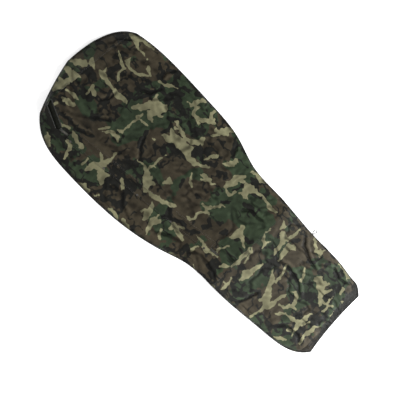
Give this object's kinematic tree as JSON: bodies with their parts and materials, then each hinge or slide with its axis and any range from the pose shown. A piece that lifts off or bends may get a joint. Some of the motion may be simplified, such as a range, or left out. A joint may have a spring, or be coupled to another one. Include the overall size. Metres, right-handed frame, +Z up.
{
  "type": "bivy sack",
  "caption": "Long hooded waterproof sleeping-bag cover with a side zipper under a snapped storm flap, lying flat with a small mouth at the hood.",
  "frame": {"origin": "middle of the sack's outline, on the ground that it lies on", "axes": "+Y from the feet to the hood, +X to the right seen from above with the hood up, +Z up from the ground"},
  "size_m": [0.9314, 2.3, 0.0595],
  "materials": {
    "crown_cloth": "matte",
    "torso_cloth": "matte",
    "leg_cloth": "satin",
    "foot_cloth": "satin",
    "flap_cloth": "matte",
    "floor_cloth": "satin",
    "binding_tape": "matte",
    "seam_tape": "satin",
    "zipper_tape": "matte",
    "zipper_chain": "satin",
    "zipper_metal": "satin",
    "snap_metal": "satin",
    "webbing": "matte",
    "cord": "matte",
    "thread": "matte"
  },
  "bodies": {
    "sack": {"crown_panel": "crown_cloth", "torso_panel": "torso_cloth", "left_front_panel": "torso_cloth", "leg_panel": "leg_cloth", "foot_panel": "foot_cloth", "torso_floor_panel": "floor_cloth", "leg_floor_panel": "floor_cloth", "right_binding": "binding_tape", "left_binding": "binding_tape", "foot_binding": "binding_tape", "mouth_binding": "binding_tape", "right_seam_tape": "seam_tape", "left_seam_tape": "seam_tape", "cross_seam_tape": "seam_tape", "left_zipper_tape": "zipper_tape", "right_zipper_tape": "zipper_tape", "left_zipper_chain": "zipper_chain", "right_zipper_chain": "zipper_chain", "zipper_top_stops": "zipper_metal", "zipper_bottom_stops": "zipper_metal", "flap_seam": "flap_cloth", "snap_studs": "snap_metal", "snap_posts": "snap_metal", "inner_loops": "webbing", "inner_loop_snaps": "snap_metal", "side_loop": "cord", "loop_bartack": "thread"},
    "flap": {"storm_flap": "flap_cloth", "snap_caps": "snap_metal", "snap_sockets": "snap_metal"},
    "upper_slider": {"upper_slider": "zipper_metal"},
    "upper_pull": {"upper_pull": "zipper_metal"},
    "lower_slider": {"lower_slider": "zipper_metal"},
    "lower_pull": {"lower_pull": "zipper_metal"}
  },
  "joints": [
    {"name": "flap_hinge", "type": "hinge", "parent": "sack", "child": "flap", "pos_m": [-0.19076, 0.27718, 0.0535], "axis": [-0.1113, 0.9938, 0], "range_deg": [0, 160]},
    {"name": "upper_slide", "type": "slide", "parent": "sack", "child": "upper_slider", "axis": [0.1113, -0.9938, 0], "range_m": [0, 0.54]},
    {"name": "upper_pull_hinge", "type": "hinge", "parent": "upper_slider", "child": "upper_pull", "pos_m": [-0.29822, 0.8591, 0.0542], "axis": [-0.9938, -0.1113, 0], "range_deg": [0, 180]},
    {"name": "lower_slide", "type": "slide", "parent": "sack", "child": "lower_slider", "axis": [-0.1113, 0.9938, 0], "range_m": [0, 0.54]},
    {"name": "lower_pull_hinge", "type": "hinge", "parent": "lower_slider", "child": "lower_pull", "pos_m": [-0.16678, -0.3141, 0.0542], "axis": [0.9938, 0.1113, 0], "range_deg": [0, 180]}
  ]
}
